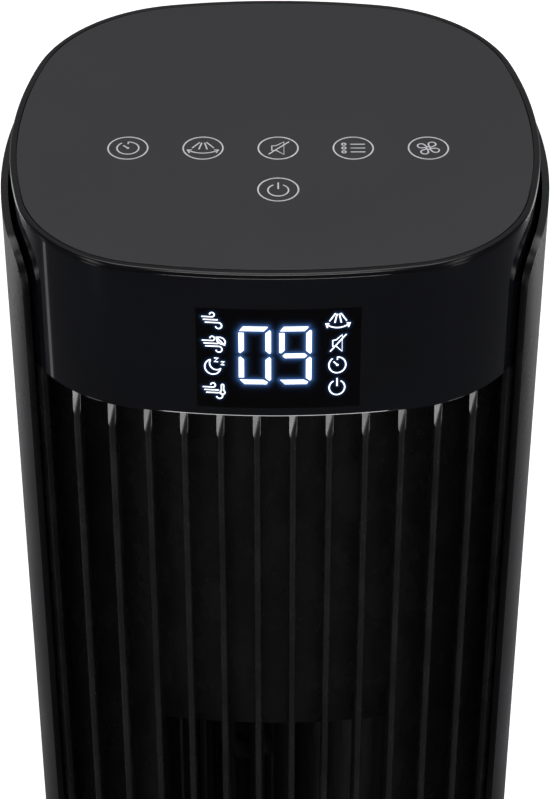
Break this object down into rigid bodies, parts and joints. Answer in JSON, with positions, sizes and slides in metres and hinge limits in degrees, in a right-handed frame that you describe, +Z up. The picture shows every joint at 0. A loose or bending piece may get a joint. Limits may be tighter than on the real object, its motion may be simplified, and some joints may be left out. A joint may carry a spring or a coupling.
{
  "type": "tower fan",
  "caption": "Slim oscillating tower fan with ribbed front outlet, rear intake, touch top, glossy display band and round swivel base.",
  "frame": {"origin": "on the floor, under the swivel axis, at the centre of the round base", "axes": "+Z up along the swivel axis; the air outlet and the display face -Y; +X is the fan's left-hand side"},
  "size_m": [0.3, 0.3, 1.07],
  "materials": {
    "shell_plastic": "satin black moulded ABS",
    "grille_plastic": "fine-textured black ABS",
    "lens_acrylic": "polished black acrylic",
    "cap_plastic": "polished black ABS",
    "touch_plastic": "fine matte dark grey film on ABS",
    "base_plastic": "fine-textured black ABS",
    "inner_plastic": "plain black polypropylene",
    "impeller_plastic": "black glass-filled plastic",
    "gear_nylon": "natural acetal",
    "rubber": "matt moulded rubber",
    "screw_steel": "black zinc",
    "shaft_steel": "ground steel",
    "motor_steel": "laminated electrical steel",
    "motor_aluminium": "die-cast",
    "copper_wire": "enamelled winding wire",
    "bronze": "sintered bronze",
    "circuit_board": "green glass-epoxy board",
    "display_light": "white diffusing light module"
  },
  "bodies": {
    "base": {"rubber_feet": "rubber", "base_plate": "inner_plastic", "base_cover": "base_plastic", "base_screws": "screw_steel", "cord_gland": "rubber", "swivel_post": "inner_plastic", "post_nut": "inner_plastic", "slide_ring": "gear_nylon", "ring_gear": "gear_nylon", "gear_retainer": "gear_nylon", "retainer_screws": "screw_steel"},
    "tower": {"bottom_housing": "grille_plastic", "drive_bracket": "inner_plastic", "swivel_motor": "motor_steel", "driver_board": "circuit_board", "motor_stand": "inner_plastic", "motor_mounts": "rubber", "lower_bell": "motor_aluminium", "upper_bell": "motor_aluminium", "stator_core": "motor_steel", "stator_coils": "copper_wire", "motor_bushes": "bronze", "bearing_bush": "bronze", "bearing_rubber": "rubber", "duct_floor": "inner_plastic", "duct_roof": "inner_plastic", "scroll_wall": "inner_plastic", "duct_tongue": "inner_plastic", "front_grille": "grille_plastic", "rear_shell": "shell_plastic", "handle_cup": "grille_plastic", "intake_grille": "grille_plastic", "shell_screws": "screw_steel", "display_lens": "lens_acrylic", "head_frame": "lens_acrylic", "top_cap": "cap_plastic", "touch_plate": "touch_plastic", "touch_board": "circuit_board", "touch_springs": "screw_steel", "display_board": "circuit_board", "digit_module": "display_light", "icon_guides": "display_light"},
    "impeller": {"impeller": "impeller_plastic", "drive_coupling": "rubber", "top_shaft": "shaft_steel", "motor_rotor": "motor_steel", "motor_shaft": "shaft_steel"},
    "pinion": {"drive_pinion": "gear_nylon", "pinion_shaft": "shaft_steel"}
  },
  "joints": [
    {"name": "oscillation", "type": "hinge", "parent": "base", "child": "tower", "pos_m": [0, 0, 0.046], "axis": [0, 0, 1], "range_deg": [-40, 40]},
    {"name": "impeller_spin", "type": "hinge", "parent": "tower", "child": "impeller", "pos_m": [0, 0.008, 0.208], "axis": [0, 0, 1], "continuous": true},
    {"name": "pinion_spin", "type": "hinge", "parent": "tower", "child": "pinion", "pos_m": [0, -0.045, 0.058], "axis": [0, 0, 1], "range_deg": [-165, 165]}
  ],
  "couplings": [
    {"joint": "pinion_spin", "follows": "oscillation", "ratio": 4}
  ]
}
